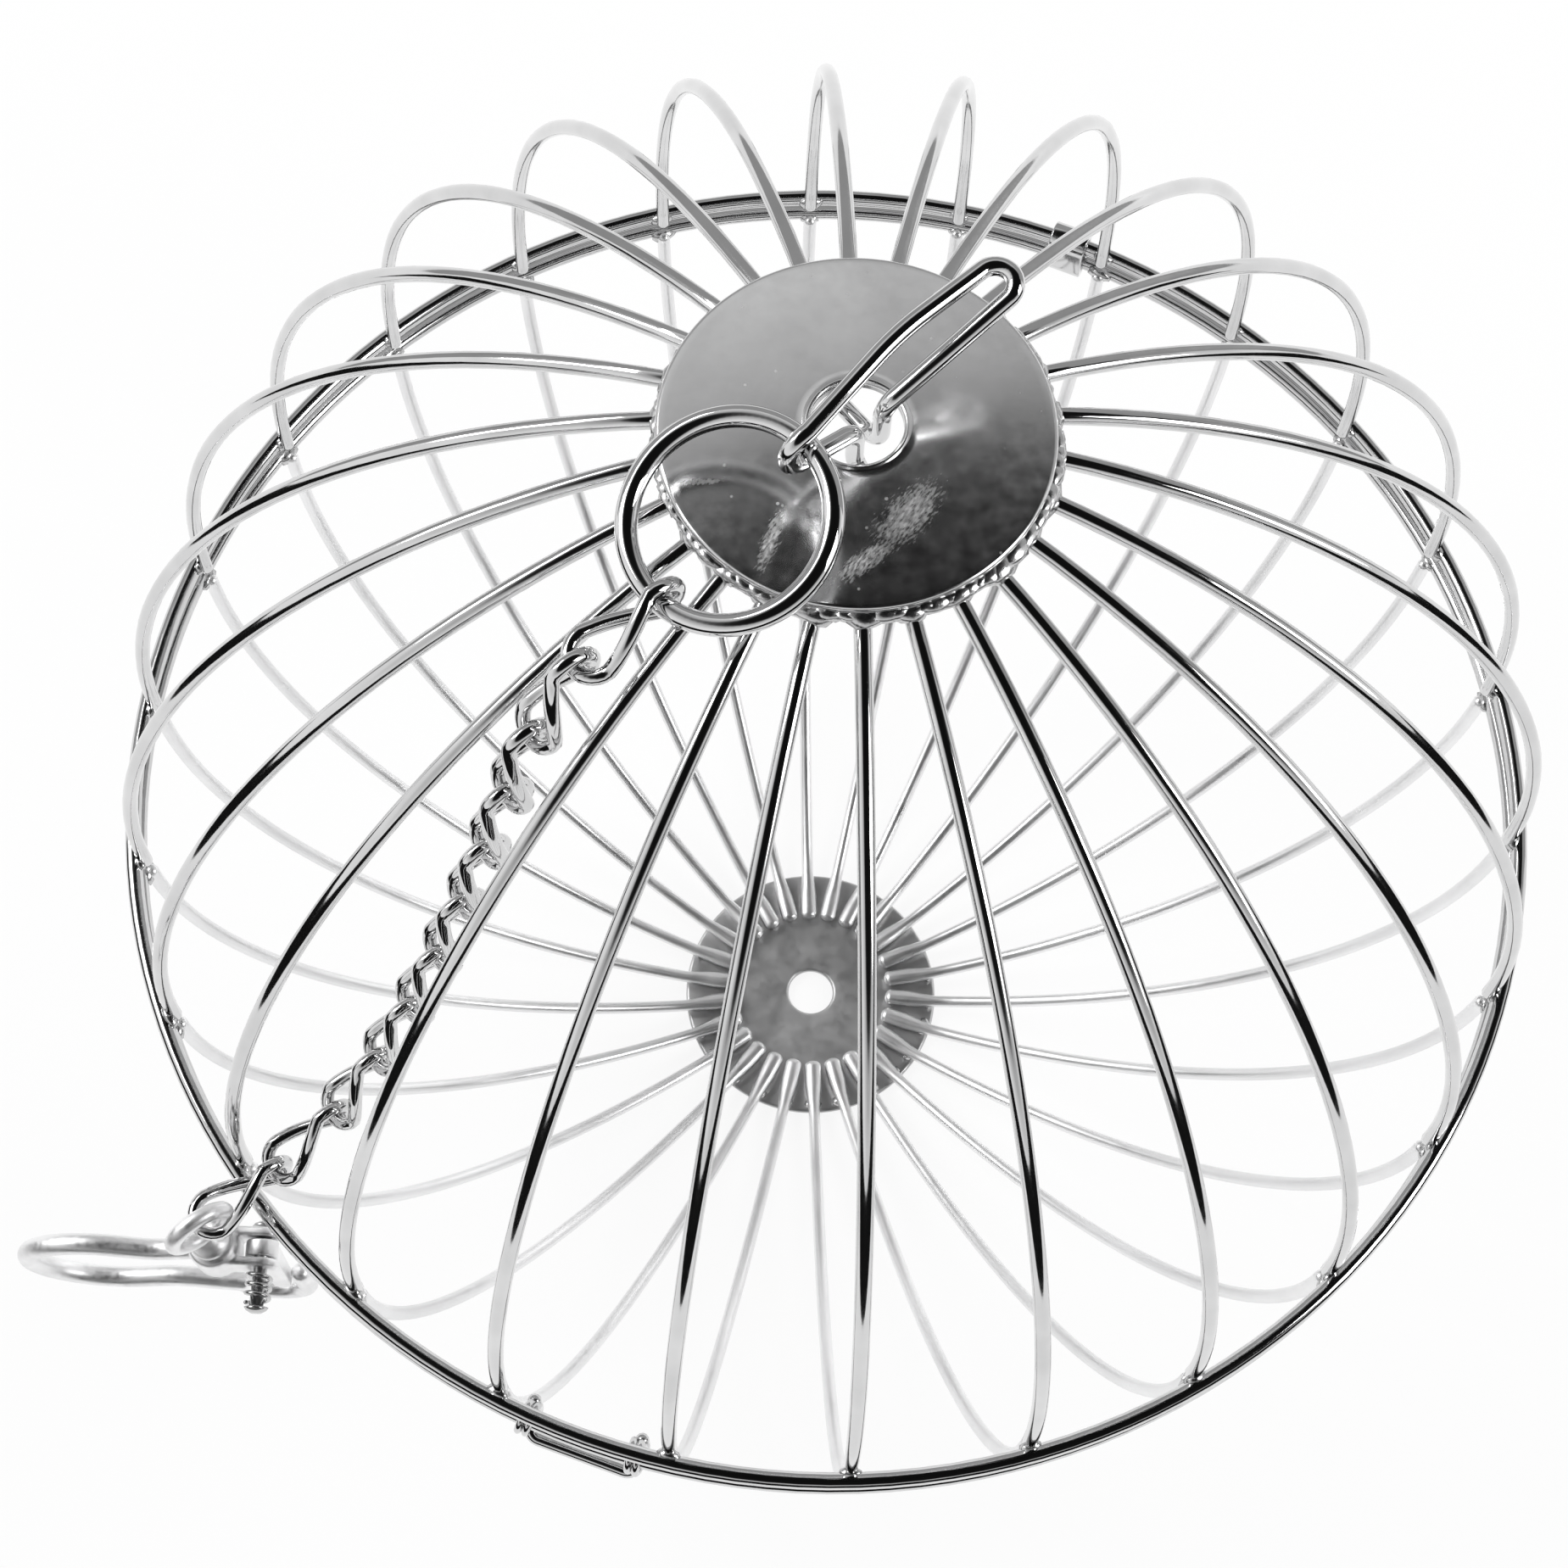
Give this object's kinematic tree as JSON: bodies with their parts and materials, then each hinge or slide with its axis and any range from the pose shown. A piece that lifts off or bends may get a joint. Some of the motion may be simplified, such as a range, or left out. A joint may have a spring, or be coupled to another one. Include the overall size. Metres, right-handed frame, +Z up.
{
  "type": "hanging chicken feeder",
  "caption": "Hinged wire ball that holds hay or greens for hens, hung by a bail, a ring and a twisted-link chain that ends in a swivel snap.",
  "frame": {"origin": "on the plane that the bottom plate stands on, under the middle of the whole assembly's box", "axes": "+Z up through the plates, -Y towards the front of the ball as it is pictured, +X to the right"},
  "size_m": [0.1658, 0.1582, 0.1692],
  "materials": {
    "cage_wire": "bright nickel plating on bent and welded wire",
    "plate": "bright nickel plating on pressed sheet, lightly scratched",
    "small_fittings": "bright nickel plating",
    "bail_and_ring": "polished nickel plating",
    "chain": "polished nickel plating",
    "snap": "nickel-plated casting, slightly soft",
    "pin_and_spring": "bright drawn wire"
  },
  "bodies": {
    "lower_half": {"lower_cage": "cage_wire", "bottom_plate": "plate"},
    "upper_half": {"upper_cage": "cage_wire", "top_plate": "plate", "hinge_clip": "small_fittings"},
    "latch": {"latch_clasp": "small_fittings"},
    "bail": {"bail": "bail_and_ring"},
    "ring": {"ring": "bail_and_ring"},
    "link_01": {"chain_link_01": "chain"},
    "link_02": {"chain_link_02": "chain"},
    "link_03": {"chain_link_03": "chain"},
    "link_04": {"chain_link_04": "chain"},
    "link_05": {"chain_link_05": "chain"},
    "link_06": {"chain_link_06": "chain"},
    "link_07": {"chain_link_07": "chain"},
    "link_08": {"chain_link_08": "chain"},
    "link_09": {"chain_link_09": "chain"},
    "link_10": {"chain_link_10": "chain"},
    "link_11": {"chain_link_11": "chain"},
    "snap_eye": {"snap_eye": "snap"},
    "snap_frame": {"snap_frame": "snap", "gate_pin": "pin_and_spring", "gate_spring": "pin_and_spring"},
    "gate": {"snap_gate": "snap"}
  },
  "joints": [
    {"name": "half_hinge", "type": "hinge", "parent": "lower_half", "child": "upper_half", "pos_m": [0.03089, 0.0733, 0.07698], "axis": [-0.9379, 0.3469, 0], "range_deg": [0, 150]},
    {"name": "latch_swing", "type": "hinge", "parent": "lower_half", "child": "latch", "pos_m": [-0.0188, -0.07459, 0.07698], "axis": [-0.9571, 0.2897, 0], "range_deg": [0, 180]},
    {"name": "bail_rock", "type": "hinge", "parent": "upper_half", "child": "bail", "pos_m": [0.00479, -0.00111, 0.15527], "axis": [-0.673, 0.7396, 0], "range_deg": [0, 15]},
    {"name": "ring_lift", "type": "hinge", "parent": "bail", "child": "ring", "pos_m": [-0.00039, -0.00582, 0.16363], "axis": [-0.673, 0.7396, 0], "range_deg": [0, 110]},
    {"name": "link_01_lift", "type": "hinge", "parent": "ring", "child": "link_01", "pos_m": [-0.01203, -0.01765, 0.15749], "axis": [-0.6266, 0.7793, 0], "range_deg": [0, 15]},
    {"name": "link_02_lift", "type": "hinge", "parent": "link_01", "child": "link_02", "pos_m": [-0.01905, -0.02329, 0.15498], "axis": [-0.6266, 0.7793, 0], "range_deg": [0, 15]},
    {"name": "link_03_lift", "type": "hinge", "parent": "link_02", "child": "link_03", "pos_m": [-0.02297, -0.02645, 0.1471], "axis": [-0.6266, 0.7793, 0], "range_deg": [0, 15]},
    {"name": "link_04_lift", "type": "hinge", "parent": "link_03", "child": "link_04", "pos_m": [-0.02548, -0.02846, 0.13832], "axis": [-0.6266, 0.7793, 0], "range_deg": [0, 15]},
    {"name": "link_05_lift", "type": "hinge", "parent": "link_04", "child": "link_05", "pos_m": [-0.02804, -0.03052, 0.12957], "axis": [-0.6266, 0.7793, 0], "range_deg": [0, 15]},
    {"name": "link_06_lift", "type": "hinge", "parent": "link_05", "child": "link_06", "pos_m": [-0.03079, -0.03273, 0.12091], "axis": [-0.6266, 0.7793, 0], "range_deg": [0, 15]},
    {"name": "link_07_lift", "type": "hinge", "parent": "link_06", "child": "link_07", "pos_m": [-0.03381, -0.03516, 0.1124], "axis": [-0.6266, 0.7793, 0], "range_deg": [0, 15]},
    {"name": "link_08_lift", "type": "hinge", "parent": "link_07", "child": "link_08", "pos_m": [-0.03723, -0.03791, 0.10414], "axis": [-0.6266, 0.7793, 0], "range_deg": [0, 15]},
    {"name": "link_09_lift", "type": "hinge", "parent": "link_08", "child": "link_09", "pos_m": [-0.04124, -0.04113, 0.09634], "axis": [-0.6266, 0.7793, 0], "range_deg": [0, 15]},
    {"name": "link_10_lift", "type": "hinge", "parent": "link_09", "child": "link_10", "pos_m": [-0.04618, -0.0451, 0.08947], "axis": [-0.6266, 0.7793, 0], "range_deg": [0, 15]},
    {"name": "link_11_lift", "type": "hinge", "parent": "link_10", "child": "link_11", "pos_m": [-0.05257, -0.05025, 0.08499], "axis": [-0.6266, 0.7793, 0], "range_deg": [0, 15]},
    {"name": "eye_swing", "type": "hinge", "parent": "link_11", "child": "snap_eye", "pos_m": [-0.05982, -0.05607, 0.08401], "axis": [-0.6266, 0.7793, 0], "range_deg": [0, 30]},
    {"name": "snap_swivel", "type": "hinge", "parent": "snap_eye", "child": "snap_frame", "pos_m": [-0.05982, -0.05607, 0.08401], "axis": [0, 0, 1], "range_deg": [-30, 60]},
    {"name": "gate_open", "type": "hinge", "parent": "snap_frame", "child": "gate", "pos_m": [-0.05482, -0.05599, 0.07351], "axis": [-0.0175, 0.9998, 0], "range_deg": [0, 18], "stiffness_Nm_per_rad": 0.01, "springref_deg": -17.19}
  ]
}
